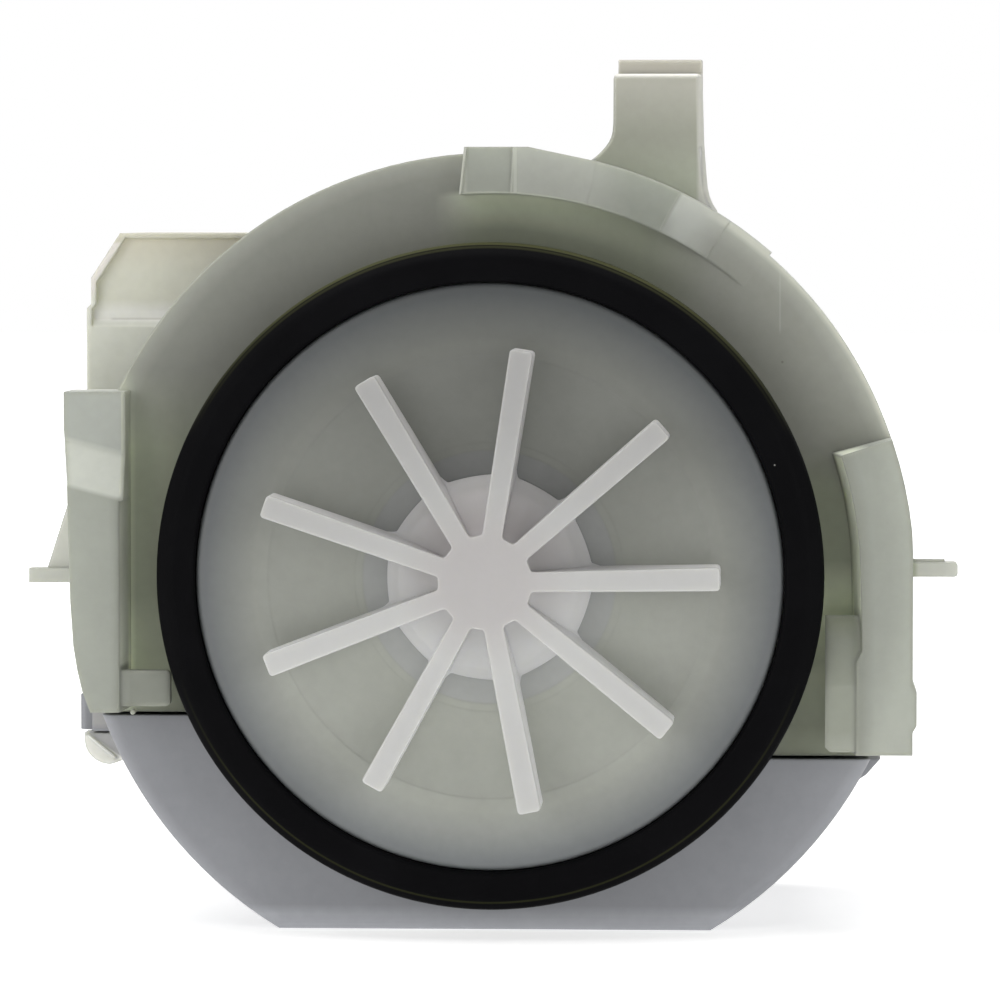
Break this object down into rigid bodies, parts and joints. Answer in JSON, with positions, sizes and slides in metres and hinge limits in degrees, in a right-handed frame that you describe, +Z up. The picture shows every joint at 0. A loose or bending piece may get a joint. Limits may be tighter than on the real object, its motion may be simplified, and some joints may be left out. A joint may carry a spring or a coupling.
{
  "type": "dishwasher drain pump",
  "caption": "Bayonet-mounted dishwasher drain pump with straight-blade impeller, rubber seal collar, sprung lock lever, side connector and drum-shaped motor.",
  "frame": {"origin": "on the shaft's axis, at the middle of the seal collar's cylindrical band", "axes": "-Y points out of the impeller side into the sump, +Z is up as mounted, +X is to the right seen from the impeller"},
  "size_m": [0.0943, 0.065, 0.0884],
  "materials": {
    "seal_rubber": "matte black moulded rubber",
    "mount_rubber": "matte black rubber",
    "pale_green_plastic": "satin pale grey-green moulded plastic",
    "face_plastic": "satin pale grey-green moulded plastic",
    "grey_plastic": "matte bluish grey moulded plastic",
    "cream_plastic": "satin cream moulded plastic",
    "impeller_plastic": "satin white moulded plastic",
    "bobbin_plastic": "satin natural plastic",
    "dark_plastic": "matte dark plastic",
    "bearing_ceramic": "smooth ceramic",
    "lamination_steel": "stacked steel laminations",
    "enamelled_wire": "enamelled copper wire",
    "tinned_brass": "tinned brass",
    "shaft_steel": "ground stainless steel",
    "ferrite": "dark sintered ferrite"
  },
  "bodies": {
    "housing": {"seal_ring": "seal_rubber", "spigot": "pale_green_plastic", "flange_body": "pale_green_plastic", "left_bayonet_lug": "pale_green_plastic", "right_bayonet_lug": "pale_green_plastic", "face_plate": "face_plastic", "front_bearing_mount": "mount_rubber", "front_bearing": "bearing_ceramic", "rotor_can": "face_plastic", "can_oring": "mount_rubber", "rear_bearing_mount": "mount_rubber", "rear_bearing": "bearing_ceramic", "motor_housing": "grey_plastic", "side_latch": "cream_plastic", "rear_cover": "grey_plastic", "left_pole_stack": "lamination_steel", "right_pole_stack": "lamination_steel", "yoke_stack": "lamination_steel", "left_bobbin": "bobbin_plastic", "right_bobbin": "bobbin_plastic", "left_winding": "enamelled_wire", "right_winding": "enamelled_wire", "coil_pins": "tinned_brass", "coil_link": "tinned_brass", "thermal_cutout": "dark_plastic", "lower_terminal": "tinned_brass", "upper_terminal": "tinned_brass", "lower_contact_strip": "tinned_brass", "upper_contact_strip": "tinned_brass", "connector_housing": "cream_plastic"},
    "rotor": {"shaft": "shaft_steel", "front_thrust_washer": "bobbin_plastic", "rear_thrust_washer": "bobbin_plastic", "rotor_sleeve": "bobbin_plastic", "rotor_magnet": "ferrite", "drive_dog": "bobbin_plastic"},
    "impeller": {"impeller": "impeller_plastic", "impeller_cap": "impeller_plastic", "hub_damper": "mount_rubber"},
    "lever": {"lock_lever": "pale_green_plastic"}
  },
  "joints": [
    {"name": "rotor_spin", "type": "hinge", "parent": "housing", "child": "rotor", "pos_m": [0, 0, 0], "axis": [0, -1, 0], "continuous": true},
    {"name": "impeller_play", "type": "hinge", "parent": "rotor", "child": "impeller", "pos_m": [0, 0, 0], "axis": [0, -1, 0], "range_deg": [-124, 124]},
    {"name": "lock_lever_flex", "type": "hinge", "parent": "housing", "child": "lever", "pos_m": [0.0165, 0.01225, 0.043], "axis": [-1, 0, 0], "range_deg": [0, 8], "stiffness_Nm_per_rad": 0.05}
  ]
}
